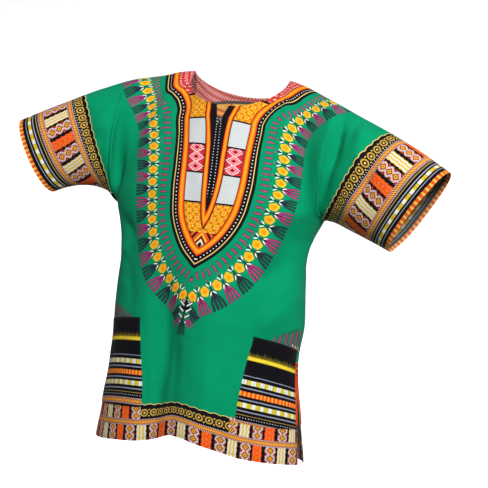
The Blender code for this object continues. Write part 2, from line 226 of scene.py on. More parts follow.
# Softer folds and small creases between the large folds
CREASES = (
    Fold("front", 0.300, -0.080, 0.264, -0.220, 0.014, -0.0060),
    Fold("front", -0.262, -0.075, -0.250, -0.300, 0.024, -0.0040),
    Fold("front", 0.222, -0.310, 0.120, -0.330, 0.016, -0.0030),
    Fold("front", 0.060, -0.500, 0.066, -0.850, 0.020, 0.0040),
    Fold("back", 0.264, -0.090, 0.236, -0.300, 0.024, -0.0040),
    Fold("back", -0.264, -0.075, -0.250, -0.300, 0.024, -0.0040),
    Fold("front", -0.272, -0.110, -0.266, -0.240, 0.006, 0.0024),
    Fold("front", -0.285, -0.200, -0.262, -0.285, 0.007, -0.0022),
    Fold("front", 0.290, -0.230, 0.245, -0.290, 0.007, -0.0020),
    Fold("front", -0.116, -0.500, -0.062, -0.815, 0.006, -0.0016),
    Fold("front", -0.092, -0.600, -0.045, -0.800, 0.004, 0.0012),
    Fold("front", 0.020, -0.560, 0.044, -0.700, 0.010, 0.0012),
    Fold("front", 0.052, -0.600, 0.060, -0.810, 0.011, -0.0016),
    Fold("front", -0.160, -0.560, -0.150, -0.700, 0.010, -0.0014),
    Fold("front", 0.205, -0.400, 0.150, -0.470, 0.006, 0.0018),
    Fold("front", 0.212, -0.430, 0.168, -0.520, 0.007, -0.0016),
    Fold("front", 0.180, -0.340, 0.120, -0.400, 0.007, 0.0014),
    Fold("front", -0.205, -0.400, -0.140, -0.455, 0.007, 0.0016),
    Fold("front", -0.200, -0.460, -0.120, -0.520, 0.009, -0.0013),
    Fold("front", 0.030, -0.560, 0.120, -0.545, 0.006, 0.0009),
    Fold("front", -0.010, -0.590, 0.070, -0.600, 0.006, -0.0009),
    Fold("front", -0.180, -0.110, -0.205, -0.180, 0.009, -0.0012),
    Fold("front", 0.160, -0.120, 0.190, -0.200, 0.009, -0.0012),
    Fold("front", -0.380, -0.130, -0.355, -0.260, 0.009, 0.0014),
    Fold("front", -0.420, -0.160, -0.395, -0.270, 0.009, -0.0012),
    Fold("front", 0.400, -0.180, 0.360, -0.310, 0.010, 0.0015),
    Fold("front", 0.445, -0.210, 0.410, -0.330, 0.009, -0.0012),
    Fold("front", 0.310, -0.150, 0.330, -0.300, 0.009, 0.0012),
    Fold("back", -0.266, -0.110, -0.258, -0.240, 0.007, 0.0026),
    Fold("back", 0.268, -0.120, 0.252, -0.270, 0.007, 0.0026),
    Fold("back", -0.200, -0.120, -0.120, -0.180, 0.010, -0.0018),
    Fold("back", 0.200, -0.130, 0.110, -0.190, 0.010, -0.0018),
    Fold("back", -0.150, -0.200, -0.060, -0.230, 0.010, 0.0012),
    Fold("back", 0.150, -0.210, 0.070, -0.240, 0.010, 0.0012),
    Fold("back", -0.150, -0.500, -0.130, -0.810, 0.010, -0.0020),
    Fold("back", -0.050, -0.520, -0.044, -0.810, 0.009, -0.0018),
    Fold("back", 0.040, -0.480, 0.052, -0.810, 0.010, 0.0020),
    Fold("back", 0.150, -0.560, 0.160, -0.810, 0.012, 0.0018),
    Fold("back", -0.190, -0.400, -0.100, -0.470, 0.008, 0.0016),
    Fold("back", 0.195, -0.410, 0.110, -0.490, 0.008, 0.0016),
    Fold("back", -0.380, -0.130, -0.360, -0.260, 0.009, 0.0014),
    Fold("back", 0.400, -0.180, 0.370, -0.310, 0.009, 0.0014),
)


def ease(x):
    """Runs smoothly from 0 to 1 as x does."""
    x = np.clip(x, 0.0, 1.0)
    return x * x * (3 - 2 * x)


def side_name(side):
    return "left" if side < 0 else "right"


def facing(panel):
    return -1.0 if panel == "front" else 1.0


def cubic(t):
    """Weights of a smooth curve's start, of its direction there, of its end, and of the direction there."""
    return 2 * t**3 - 3 * t**2 + 1, t**3 - 2 * t**2 + t, -2 * t**3 + 3 * t**2, t**3 - t**2


def along_curve(x, xs, ys):
    """A smooth curve through the points of a table, as the cloth bends evenly between them."""
    xs = np.asarray(xs, float)
    ys = np.asarray(ys, float)
    if xs[0] > xs[-1]:
        xs = xs[::-1]
        ys = ys[::-1]
    slopes = np.gradient(ys, xs)
    x = np.clip(x, xs[0], xs[-1])
    i = np.clip(np.searchsorted(xs, x, side="right") - 1, 0, len(xs) - 2)
    step = xs[i + 1] - xs[i]
    a, b, c, d = cubic((x - xs[i]) / step)
    return a * ys[i] + b * step * slopes[i] + c * ys[i + 1] + d * step * slopes[i + 1]


def top_seam(side, out):
    rows = TOP_SEAM[side_name(side)]
    return np.array([side * out, along_curve(out, rows["out"], rows["y"]),
                     along_curve(out, rows["out"], rows["z"])])


def under_seam(side, share):
    rows = UNDER_SEAM[side_name(side)]
    return np.array([side * along_curve(share, rows["share"], rows["out"]),
                     along_curve(share, rows["share"], rows["y"]),
                     along_curve(share, rows["share"], rows["z"])])


def neck_edge(panel, side, out):
    """The edge of the neck opening, with the slit at the middle of the front."""
    lean = top_seam(side, NECK_HALF_WIDTH)[2] * out / NECK_HALF_WIDTH
    across = math.sqrt(max(0.0, 1 - (out / NECK_HALF_WIDTH) ** 2))
    y = facing(panel) * NECK_REACH[panel] * across
    z = lean - NECK_DROP[panel] * across
    if panel == "front" and out < SLIT_HALF_WIDTH:
        down = 1 - out / SLIT_HALF_WIDTH
        y = y + down * (-SLIT_BOTTOM_REACH - y)
        z = z + down * (SLIT_BOTTOM_Z - z)
    return np.array([side * out, y, z])


def ring_point(panel, side, share, level):
    """A point of the body at a level, share of the way from its middle to its side."""
    z = level
    if panel == "front":
        above = ease((level - POCKET_BOTTOM_Z) / (POCKET_TOP_Z - POCKET_BOTTOM_Z))
        below = ease((LOWER_Z[1] - level) / (LOWER_Z[1] - POCKET_TOP_Z))
        z = level - POCKET_SLOPE * share * ease((level - VENT_TOP_Z) / (POCKET_TOP_Z - VENT_TOP_Z)) * below
        share = share + POCKET_TAPER * above * below * math.sin(math.pi * min(share / STRIP_INNER_RING, 1.0))
    angle = share * math.pi / 2
    half_width = along_curve(z, BODY["z"], BODY["half_width"])
    x = along_curve(z, BODY["z"], BODY["shift"]) + side * half_width * math.sin(angle)
    y = facing(panel) * along_curve(z, BODY["z"], BODY[panel]) * math.cos(angle)
    if z < VENT_TOP_Z:
        open_share = ease((VENT_TOP_Z - z) / (VENT_TOP_Z - HEM_Z))
        y = y + facing(panel) * VENT_SPREAD * open_share * ease((share - 0.75) / 0.25)
        z = z + open_share * along_curve(x, HEM_WAVE["x"], HEM_WAVE[panel])
    return np.array([x, y, z])


def span(start, end, leave, arrive):
    """The points of an upper column, on a smooth curve with its directions at both ends."""
    a, b, c, d = cubic(np.linspace(0, 1, UPPER_ROWS + 1))
    return np.outer(a, start) + np.outer(b, leave) + np.outer(c, end) + np.outer(d, arrive)


def body_column(panel, side, ring):
    """A column of the upper panel from the neck edge or shoulder seam to the armpit ring."""
    out = float(np.interp(ring, COLUMNS["ring"], COLUMNS["top"]))
    face = facing(panel)
    start = neck_edge(panel, side, out) if ring < NECK_RING - 1e-6 else top_seam(side, out)
    end = under_seam(side, 0.0) if ring > 1 - 1e-6 else ring_point(panel, side, ring, ARMPIT_Z)
    fall = start[2] - end[2]
    reach = abs(end[1] - start[1])
    over = ease((out - 0.08) / 0.05)
    forward = (1 - over) * 0.075 + over * (1.15 * reach + 0.075)
    leave = np.array([0.0, face * forward, -fall * (0.95 - 0.75 * over)])
    arrive = np.array([0.0, 0.0, -fall * (0.85 + 0.45 * over)])
    round_depth = SLEEVE[side_name(side)][0]
    sleeve_leave = np.array([0.0, face * 4 * round_depth, 0.0])
    w = ease((ring - 0.55) / 0.45)
    leave = (1 - w) * leave + w * sleeve_leave
    arrive = (1 - w) * arrive - w * sleeve_leave
    return span(start, end, leave, arrive)


def sleeve_column(panel, side, share):
    """A half ring of the sleeve from its top seam to the underarm seam."""
    out = ARMHOLE_OUT + share * (TOP_SEAM[side_name(side)]["out"][-1] - ARMHOLE_OUT)
    half_depth = along_curve(share, SLEEVE["share"], SLEEVE[side_name(side)])
    leave = np.array([0.0, facing(panel) * 4 * half_depth, 0.0])
    return span(top_seam(side, out), under_seam(side, share), leave, -leave)


def fold_height(folds, panel, x, z):
    """How far folds lift the cloth at places seen from the front."""
    total = np.zeros_like(x)
    for fold in folds:
        if fold.panel != panel:
            continue
        along_x = fold.x2 - fold.x1
        along_z = fold.z2 - fold.z1
        length = math.hypot(along_x, along_z)
        share = ((x - fold.x1) * along_x + (z - fold.z1) * along_z) / length**2
        inside = np.clip(share, 0, 1)
        bow = 0.03 * length * np.sin(math.pi * inside)
        off_x = x - fold.x1 - inside * along_x + bow * along_z / length
        off_z = z - fold.z1 - inside * along_z - bow * along_x / length
        fade = ease(share / 0.3)
        if fold.z2 > HEM_Z:
            fade = fade * ease((1 - share) / 0.3)
        uneven = 1 + 0.25 * np.sin(9 * share + 40 * fold.x1)
        total += fold.height * uneven * fade * np.exp(-((off_x**2 + off_z**2) / fold.half_width**2))
    return total


def slack(points):
    """Faint unevenness of worn cotton all over, in metres."""
    x, y, z = points.T
    return (0.00045 * np.sin(61 * x + 23 * z + 1.5 * np.sin(17 * z + 9 * y))
            + 0.00035 * np.sin(-47 * x + 71 * z + 2.0 * np.sin(29 * x))
            + 0.00030 * np.sin(113 * x + 37 * z + 53 * y))


def face_crosses(points, faces):
    """For each face the direction square to it, as long as twice its area."""
    corners = points[faces]
    return np.cross(corners[:, 2] - corners[:, 0], corners[:, 3] - corners[:, 1])


class Grid:
    """The points of a panel by row and column, with what each row and column is."""

    def __init__(self, panel):
        self.panel = panel
        half = [0.0]
        for a, b in zip(COLUMNS["ring"], COLUMNS["ring"][1:]):
            half += [a + (b - a) * (n + 1) / COLUMN_SPLIT for n in range(COLUMN_SPLIT)]
        sleeve = [(n + 1) / SLEEVE_COLUMNS for n in range(SLEEVE_COLUMNS)]
        self.shares = ([-1 - s for s in sleeve[::-1]] + [-r for r in half[:0:-1]]
                       + half + [1 + s for s in sleeve])
        self.levels = [LOWER_Z[0]]
        for a, b in zip(LOWER_Z, LOWER_Z[1:]):
            steps = max(1, round((a - b) / ROW_HEIGHT))
            self.levels += [a + (b - a) * (n + 1) / steps for n in range(steps)]
        self.first = SLEEVE_COLUMNS
        self.last = len(self.shares) - 1 - SLEEVE_COLUMNS
        upper = []
        for share in self.shares:
            side = -1.0 if share < 0 else 1.0
            if abs(share) > 1:
                upper.append(sleeve_column(panel, side, abs(share) - 1))
            else:
                upper.append(body_column(panel, side, abs(share)))
        points = []
        self.number = {}
        for row in range(UPPER_ROWS + 1):
            for column in range(len(self.shares)):
                self.number[row, column] = len(points)
                points.append(upper[column][row])
        for step, level in enumerate(self.levels[1:]):
            for column in range(self.first, self.last + 1):
                share = self.shares[column]
                side = -1.0 if share < 0 else 1.0
                self.number[UPPER_ROWS + 1 + step, column] = len(points)
                points.append(ring_point(panel, side, abs(share), level))
        self.points = np.array(points)
        self.rows = np.array([key[0] for key in self.number])
        self.columns = np.array([key[1] for key in self.number])
        self.share = np.abs(np.array(self.shares))[self.columns]
        self.faces = []
        for row in range(UPPER_ROWS + len(self.levels) - 1):
            for column in range(len(self.shares) - 1):
                corners = [(row, column), (row, column + 1), (row + 1, column + 1), (row + 1, column)]
                if all(corner in self.number for corner in corners):
                    face = [self.number[corner] for corner in corners]
                    self.faces.append(face if panel == "back" else turned(face))
        self.faces = np.array(self.faces)

    def settle(self):
        """Puts the folds in and works out which way the cloth faces."""
        normals = self.directions()
        below_seam = ease(self.rows / (UPPER_ROWS / 4))
        above_seam = ease((UPPER_ROWS - self.rows) / (UPPER_ROWS / 4))
        calm = np.where(self.share >= NECK_RING - 1e-6, below_seam, 1.0)
        calm = np.where(self.share >= 1.0, np.minimum(calm, above_seam), calm * ease((1 - self.share) / 0.12))
        fine = np.minimum(1.0, calm * 1.5)
        x, _, z = self.points.T
        lift = (calm * fold_height(LARGE_FOLDS, self.panel, x, z)
                + fine * (fold_height(CREASES, self.panel, x, z) + slack(self.points)))
        self.points = self.points + normals * lift[:, None]
        self.normals = self.directions()
        top = (self.rows == 0) & (self.share >= NECK_RING - 1e-6)
        under = (self.rows == UPPER_ROWS) & (self.share >= 1.0)
        side = (self.rows > UPPER_ROWS) & (self.share > 1 - 1e-6)
        seam = top | under | side
        self.normals[seam, 1] = 0.0
        self.normals /= np.linalg.norm(self.normals, axis=1)[:, None]
        self.points[:, 1] += facing(self.panel) * GAP / 2

    def directions(self):
        across = face_crosses(self.points, self.faces)
        normals = np.zeros_like(self.points)
        for n in range(4):
            np.add.at(normals, self.faces[:, n], across)
        return normals / np.linalg.norm(normals, axis=1)[:, None]

    def column_of(self, share):
        return min(range(len(self.shares)), key=lambda column: abs(self.shares[column] - share))

    def row_of(self, level):
        return UPPER_ROWS + min(range(len(self.levels)), key=lambda n: abs(self.levels[n] - level))


def turned(face):
    """The face seen from its other side, split along the same diagonal."""
    return [face[0]] + list(face[:0:-1])


def closed_wall(inner, outer, faces):
    """One closed body between two layers of points with the same faces."""
    count = len(inner)
    walls = [[int(i) + count for i in face] for face in faces]
    walls += [turned([int(i) for i in face]) for face in faces]
    edges = set()
    for face in faces:
        face = [int(i) for i in face]
        edges.update(zip(face, face[1:] + face[:1]))
    rims = [[a, b, b + count, a + count] for a, b in edges if (b, a) not in edges]
    rims.sort()
    return np.vstack([inner, outer]), walls + rims


def run_along(points, axis):
    """How far each point lies along the rows or down the columns of a grid of points."""
    steps = np.linalg.norm(np.diff(points, axis=axis), axis=2)
    return np.insert(np.cumsum(steps, axis=axis), 0, 0.0, axis=axis)


def flat_cut(grid):
    """Where each point of a panel lies on the flat cloth: out from the middle, down from the shoulders.

    With these come its distances from the cuff's edge, the side's and the neck's.
    """
    rows = UPPER_ROWS + len(grid.levels)
    count = len(grid.shares)
    places = np.zeros((rows, count, 3))
    places[grid.rows, grid.columns] = grid.points
    middle = count // 2
    steps = np.linalg.norm(np.diff(places, axis=1), axis=2)
    out = np.zeros((rows, count))
    out[:, middle + 1:] = np.cumsum(steps[:, middle:], axis=1)
    out[:, middle - 1::-1] = -np.cumsum(steps[:, middle - 1::-1], axis=1)
    runs = run_along(places[:UPPER_ROWS + 1], 0)
    down = np.zeros((rows, count))
    neck = np.ones((rows, count))
    falls = np.linspace(0, 1, UPPER_ROWS + 1)
    for column, signed in enumerate(grid.shares):
        share = abs(signed)
        side = -1.0 if signed < 0 else 1.0
        top = float(np.interp(share, COLUMNS["ring"], COLUMNS["top"]))
        start = 0.0
        end = RING_DOWN
        if share < NECK_RING - 1e-6:
            edge = neck_edge(grid.panel, side, top)
            lean = top_seam(side, NECK_HALF_WIDTH)[2] * top / NECK_HALF_WIDTH
            start = -math.hypot(edge[1], lean - edge[2])
        if share > 1 + 1e-6:
            top = ARMHOLE_OUT + (share - 1) * SLEEVE_RUN[side_name(side)]
            armhole = runs[-1, grid.last if side > 0 else grid.first]
            end = -runs[-1, column] * (1 + (-RING_DOWN / armhole - 1) * (2 - share))
        down[:UPPER_ROWS + 1, column] = start + (end - start) * runs[:, column] / runs[-1, column]
        out[:UPPER_ROWS + 1, column] = side * top + (out[UPPER_ROWS, column] - side * top) * falls
        if share < NECK_RING - 1e-6:
            neck[:, column] = start - down[:, column]
        else:
            neck[:, column] = np.hypot(np.abs(out[:, column]) - NECK_HALF_WIDTH, down[:, column])
    for step, level in enumerate(grid.levels[1:]):
        down[UPPER_ROWS + 1 + step] = RING_DOWN + level - ARMPIT_Z
    cuff = np.where(np.arange(count) < middle, np.abs(out[:, :1]), np.abs(out[:, -1:])) - np.abs(out)
    # The border's upper edge runs at a slant, so it is wider under the sleeve
    cuff[:UPPER_ROWS + 1] /= (1.07 + 0.32 * falls)[:, None]
    cuff[UPPER_ROWS + 1:] = 1.0
    half = (np.abs(out[:, grid.first]) + np.abs(out[:, grid.last])) / 2
    side = half[:, None] - np.abs(out)
    side[:UPPER_ROWS + 1] = 1.0
    neck[UPPER_ROWS:] = 1.0
    pick = grid.rows, grid.columns
    return out[pick], down[pick], cuff[pick], side[pick], neck[pick]


def line_run(points):
    """How far along a line each of its points lies."""
    return np.concatenate([[0.0], np.cumsum(np.linalg.norm(np.diff(points, axis=0), axis=1))])


def from_outline(points, out, down):
    """Distance from a half outline, above 0 outside it, and how far along it, on the flat cut."""
    points = np.array(points)
    marks = line_run(points)
    fine = np.linspace(0, marks[-1], 121)
    points = np.stack([along_curve(fine, marks, points[:, n]) for n in range(2)], axis=1)
    runs = line_run(points)
    places = np.stack([np.abs(out), down], axis=1)
    away = np.full(len(places), 9.0)
    along = np.zeros(len(places))
    for start, end, run, next_run in zip(points, points[1:], runs, runs[1:]):
        line = end - start
        share = np.clip((places - start) @ line / (line @ line), 0, 1)
        off = places - start - share[:, None] * line
        distance = np.linalg.norm(off, axis=1)
        side = np.where(line[0] * off[:, 1] - line[1] * off[:, 0] < 0, -1.0, 1.0)
        nearer = distance < np.abs(away) - 1e-9
        away = np.where(nearer, side * distance, away)
        along = np.where(nearer, run + share * (next_run - run), along)
    return away, along


def add_cloth(name, points, faces, marks, material):
    """A thin closed cloth piece, with its marks kept as attributes that the print is drawn from."""
    mesh = bpy.data.meshes.new(name)
    mesh.from_pydata(points.tolist(), [], faces)
    for key, values in marks.items():
        layer = mesh.attributes.new(key, "FLOAT_VECTOR", "POINT")
        layer.data.foreach_set("vector", np.ascontiguousarray(values, dtype=np.float32).ravel())
    mesh.materials.append(material)
    mesh.shade_smooth()
    mesh.set_sharp_from_angle(angle=math.radians(50))
    piece = bpy.data.objects.new(name, mesh)
    bpy.context.scene.collection.objects.link(piece)
    return piece


def both_layers(*values):
    """Marks for each point of a wall's inner layer and then of its outer layer."""
    return np.stack([np.tile(value, 2) for value in values], axis=1)


def add_panel(panel, material):
    grid = Grid(panel)
    out, down, cuff, side, neck = flat_cut(grid)
    grid.settle()
    drift = along_curve(down, DRIFT_DOWN, DRIFT[panel])
    drawn = out - drift * ease((0.30 - np.abs(out)) / 0.10)
    yoke, yoke_run = from_outline(OUTLINES[panel]["yoke"], drawn, down)
    ring, ring_run = from_outline(OUTLINES[panel]["ring"], drawn, down)
    slit, _ = from_outline(OUTLINES[panel]["slit"], drawn, down)
    strokes, strokes_run = from_outline(OUTLINES[panel]["strokes"], drawn, down)
    # Runs as counts of motifs, so that a stem and a stroke fall on the middle line
    strokes_run = strokes_run / strokes_run.max() * STROKES[panel]
    ring_run = ring_run / ring_run.max() * BUDS[panel]
    hem = down - HEM_DOWN
    inner = grid.points
    outer = grid.points + grid.normals * WALL
    points, faces = closed_wall(inner, outer, grid.faces)
    layers = np.repeat([1.0, 0.0], len(inner))
    marks = {
        "cut": np.column_stack([both_layers(out, down), layers]),
        "yoke": both_layers(yoke, yoke_run, slit),
        "ring": both_layers(ring, ring_run, drawn),
        "strokes": both_layers(strokes, strokes_run, neck),
        "ends": both_layers(cuff, hem, side),
    }
    piece = add_cloth("shirt_" + panel, points, faces, marks, material)
    area = float(np.linalg.norm(face_crosses(grid.points, grid.faces), axis=1).sum() / 2)
    return piece, grid, outer, area


def add_patch(name, grid, outer, top_z, bottom_z, shares, pull_in, material):
    """A flat piece sewn on a panel, between two heights and two shares of the ring; gives its size too."""
    first, last = sorted(grid.column_of(share) for share in shares)
    rows = range(grid.row_of(top_z), grid.row_of(bottom_z) + 1)
    numbers = np.array([[grid.number[row, column] for column in range(first, last + 1)] for row in rows])
    inner = outer[numbers].copy()
    ways = grid.normals[numbers].copy()
    for edge, inside, pull in ((0, 1, pull_in[0]), (-1, -2, pull_in[1])):
        if pull:
            line = inner[:, inside] - inner[:, edge]
            share = pull / np.linalg.norm(line, axis=1)[:, None]
            ways[:, edge] += share * (ways[:, inside] - ways[:, edge])
            inner[:, edge] += share * line
    across = run_along(inner, 1)
    fall = run_along(inner, 0)
    width = across[:, -1:] * np.ones_like(across)
    inner = inner.reshape(-1, 3)
    ways = ways.reshape(-1, 3)
    ways /= np.linalg.norm(ways, axis=1)[:, None]
    faces = []
    wide = numbers.shape[1]
    for row in range(len(numbers) - 1):
        for column in range(wide - 1):
            n = row * wide + column
            face = [n, n + 1, n + wide + 1, n + wide]
            faces.append(face if grid.panel == "back" else turned(face))
    faces = np.array(faces)
    points, walls = closed_wall(inner + ways * GAP, inner + ways * (GAP + PATCH_WALL), faces)
    marks = {"patch": both_layers(across.ravel(), fall.ravel(), width.ravel())}
    piece = add_cloth(name, points, walls, marks, material)
    return piece, float(width.max()), float(fall.max())


class Signal:
    """A number that changes over the cloth, carried by a node's output."""

    def __init__(self, tree, socket):
        self.tree = tree
        self.socket = socket

    def math(self, operation, *others, clamp=False):
        node = self.tree.nodes.new("ShaderNodeMath")
        node.operation = operation
        node.use_clamp = clamp
        for number, other in enumerate((self,) + others):
            if isinstance(other, Signal):
                self.tree.links.new(other.socket, node.inputs[number])
            else:
                node.inputs[number].default_value = other
        return Signal(self.tree, node.outputs[0])

    def __add__(self, other):
        return self.math("ADD", other)

    def __sub__(self, other):
        return self.math("SUBTRACT", other)

    def __mul__(self, other):
        return self.math("MULTIPLY", other)

    def __truediv__(self, other):
        return self.math("DIVIDE", other)

    def less_than(self, limit, soft=0.0003):
        """1 where this is below the limit, with a soft printed edge."""
        if isinstance(limit, Signal):
            return (self - limit).math("MULTIPLY_ADD", -1 / soft, 0.5, clamp=True)
        return self.math("MULTIPLY_ADD", -1 / soft, 0.5 + limit / soft, clamp=True)

    def more_than(self, limit, soft=0.0003):
        return self.less_than(limit, soft).math("MULTIPLY_ADD", -1.0, 1.0)

    def between(self, low, high, soft=0.0003):
        return (self - (low + high) / 2).size().less_than((high - low) / 2, soft)

    def size(self):
        return self.math("ABSOLUTE")

    def least(self, other):
        return self.math("MINIMUM", other)

    def most(self, other):
        return self.math("MAXIMUM", other)

    def sine(self):
        return self.math("SINE")

    def cell(self, pitch, shift=0.0):
        """Repeats from -pitch/2 to pitch/2 along the print, so 0 is a motif's middle."""
        return (self.math("MULTIPLY_ADD", 1 / pitch, shift).math("FRACT") - 0.5) * pitch

    def number(self, pitch):
        """Which repeat this is along the print."""
        return (self / pitch).math("FLOOR")

    def odd(self, pitch):
        """1 in every other repeat."""
        half = (self / (2 * pitch)).math("FRACT") - 0.5
        return half.math("SIGN").math("MULTIPLY_ADD", 0.5, 0.5)


def length(x, y):
    return (x * x + y * y).math("SQRT")


def linear(code):
    """A colour from its written code."""
    values = [int(code[n:n + 2], 16) / 255 for n in (1, 3, 5)]
    return tuple(v / 12.92 if v <= 0.04045 else ((v + 0.055) / 1.055) ** 2.4 for v in values) + (1.0,)


class Paint:
    """Colours laid one over another, as the dyes of a print are."""

    def __init__(self, tree, colour):
        self.tree = tree
        self.colour = linear(colour) if isinstance(colour, str) else colour

    def lay(self, colour, mask):
        """Puts a colour over what is there, where the mask is 1."""
        node = self.tree.nodes.new("ShaderNodeMix")
        node.data_type = "RGBA"
        self.tree.links.new(mask.socket, node.inputs["Factor"])
        for socket, value in ((node.inputs[6], self.colour), (node.inputs[7], colour)):
            if isinstance(value, str):
                socket.default_value = linear(value)
            elif isinstance(value, tuple):
                socket.default_value = value
            else:
                self.tree.links.new(value.socket if isinstance(value, (Signal, Paint)) else value, socket)
        self.colour = node.outputs[2]
        return self

    @property
    def socket(self):
        return self.colour


def marks_of(tree, name):
    """The three numbers of one of the cloth's attributes."""
    node = tree.nodes.new("ShaderNodeAttribute")
    node.attribute_name = name
    split = tree.nodes.new("ShaderNodeSeparateXYZ")
    tree.links.new(node.outputs["Vector"], split.inputs[0])
    return [Signal(tree, split.outputs[n]) for n in range(3)]


# Dyes of the print
GREEN = "#008F62"
BLACK = "#121015"
INK = "#0E0D13"
CREAM = "#EBCB78"
PALE = "#C4CCD6"
AMBER = "#FFAA1C"
MAGENTA = "#B43C80"
WHITE = "#F1F1EE"
TEAL = "#2F4C54"
RED = "#D2303C"
OCHRE = "#C9A548"
SLATE = "#8C91A6"
STEEL = "#9A9FB4"


def new_group(name, inputs, outputs):
    """A named effect, to be placed in materials: its tree, its inputs, and the node of its outputs."""
    tree = bpy.data.node_groups.new(name, "ShaderNodeTree")
    for label, value in inputs.items():
        kind = "NodeSocketColor" if isinstance(value, tuple) else "NodeSocketFloat"
        tree.interface.new_socket(label, in_out="INPUT", socket_type=kind).default_value = value
    for label in outputs:
        kind = "NodeSocketColor" if label == "Color" else "NodeSocketFloat"
        tree.interface.new_socket(label, in_out="OUTPUT", socket_type=kind)
    source = tree.nodes.new("NodeGroupInput")
    target = tree.nodes.new("NodeGroupOutput")
    return tree, [Signal(tree, source.outputs[n]) for n in range(len(inputs))], target


def give(target, *results):
    """Hands an effect's results to its outputs."""
    for number, result in enumerate(results):
        result.tree.links.new(result.socket, target.inputs[number])


def colour_ramp(tree, place, stops, blend="CONSTANT"):
    """A colour for each place from 0 to 1, from stops that each hold a place and a colour."""
    ramp = tree.nodes.new("ShaderNodeValToRGB")
    ramp.color_ramp.interpolation = blend
    elements = ramp.color_ramp.elements
    for element, (stop, colour) in zip(elements, (stops[0], stops[-1])):
        element.position = stop
        element.color = linear(colour)
    for stop, colour in stops[1:-1]:
        elements.new(stop).color = linear(colour)
    tree.links.new(place.socket, ramp.inputs[0])
    return ramp.outputs[0]


def noise(tree, socket, place, scale, detail=2.0):
    """Uneven light and dark at a scale, along a line or over a surface."""
    node = tree.nodes.new("ShaderNodeTexNoise")
    if socket == "W":
        node.noise_dimensions = "1D"
    node.inputs["Scale"].default_value = scale
    node.inputs["Detail"].default_value = detail
    tree.links.new(place, node.inputs[socket])
    return Signal(tree, node.outputs[0])


def place_group(tree, group, **values):
    """Puts a named effect into a material with its own values."""
    node = tree.nodes.new("ShaderNodeGroup")
    node.node_tree = group
    for label, value in values.items():
        socket = node.inputs[label.replace("_", " ")]
        if isinstance(value, Signal):
            tree.links.new(value.socket, socket)
        else:
            socket.default_value = linear(value) if isinstance(value, str) else value
    return node


def make_weave():
    """Plain cotton weave: height of the threads, and a faint change of tone: uneven yarn, and painted shade
    between the threads.
    """
    tree, (across, down, thread), target = new_group(
        "plain_weave", {"Across": 0.0, "Down": 0.0, "Thread": 0.0008}, ("Height", "Shade"))
    turn = thread.math("POWER", -1.0) * (2 * math.pi)
    height = (across * turn).sine() * (down * turn).sine()
    place = tree.nodes.new("ShaderNodeCombineXYZ")
    give(place, across, down)
    slub = noise(tree, "Vector", place.outputs[0], 220.0)
    mottle = noise(tree, "Vector", place.outputs[0], 26.0, 3.0)
    # Slub and mottle are uneven yarn; the height term is painted shade, darker between the threads and
    # lighter on their tops
    shade = slub * 0.10 + mottle * 0.14 + height * 0.03
    give(target, height * 0.5 + slub * 0.6, shade + 0.88)
    return tree


def make_cord():
    """A printed band like twisted cord: red at its edges, yellow down its middle."""
    tree, (offset, width, along), target = new_group(
        "cord_band", {"Offset": 0.0, "Width": 0.014, "Along": 0.0}, ("Color", "Mask"))
    away = offset.size() / (width * 0.5)
    stops = ((0.0, "#FFB429"), (0.35, "#FF9A1C"), (0.60, "#F26A18"), (0.86, "#DA4015"), (1.0, "#B02A12"))
    ply = ((along + offset.size() * 0.7) * (2 * math.pi / 0.0042)).sine()
    groove = (ply * 0.5 + 0.5).math("POWER", 3.0) * 0.45
    paint = Paint(tree, colour_ramp(tree, away, stops, "LINEAR")).lay("#B8340F", groove)
    give(target, paint, away.less_than(1.0, 0.05))
    return tree


def make_slashed_cord():
    """A narrow band of orange cord with black slashes and small pale teeth along both edges."""
    tree, (offset, width, along), target = new_group(
        "slashed_cord_band", {"Offset": 0.0, "Width": 0.012, "Along": 0.0}, ("Color", "Mask"))
    away = offset.size() / width
    paint = Paint(tree, BLACK)
    paint.lay("#E9C9CF", away.between(0.33, 0.48, 0.03) * along.cell(0.0034).size().less_than(0.0009))
    paint.lay("#F08A2A", away.less_than(0.30, 0.03))
    paint.lay("#FFB84A", away.less_than(0.13, 0.06))
    slash = (along + offset * 0.9).cell(0.0046).size().less_than(0.0007)
    paint.lay("#4A1E18", slash * away.less_than(0.30, 0.03))
    give(target, paint, away.less_than(0.5, 0.02))
    return tree


def make_dashes():
    """A narrow band of dashes, gold and cream by turns, as if woven."""
    plain = (1.0, 1.0, 1.0, 1.0)
    values = {"Offset": 0.0, "Width": 0.006, "Along": 0.0, "Pitch": 0.016, "First": plain, "Second": plain}
    tree, (offset, width, along, pitch, first, second), target = new_group(
        "dash_band", values, ("Color", "Mask"))
    away = offset.size() / width
    place = (along / pitch).math("FRACT")
    paint = Paint(tree, second).lay(first, place.less_than(0.55, 0.04))
    paint.lay(BLACK, (place.between(0.25, 0.30, 0.03) * 0.5).most(place.between(0.53, 0.58, 0.03) * 0.8))
    give(target, paint, away.less_than(0.5, 0.06))
    return tree


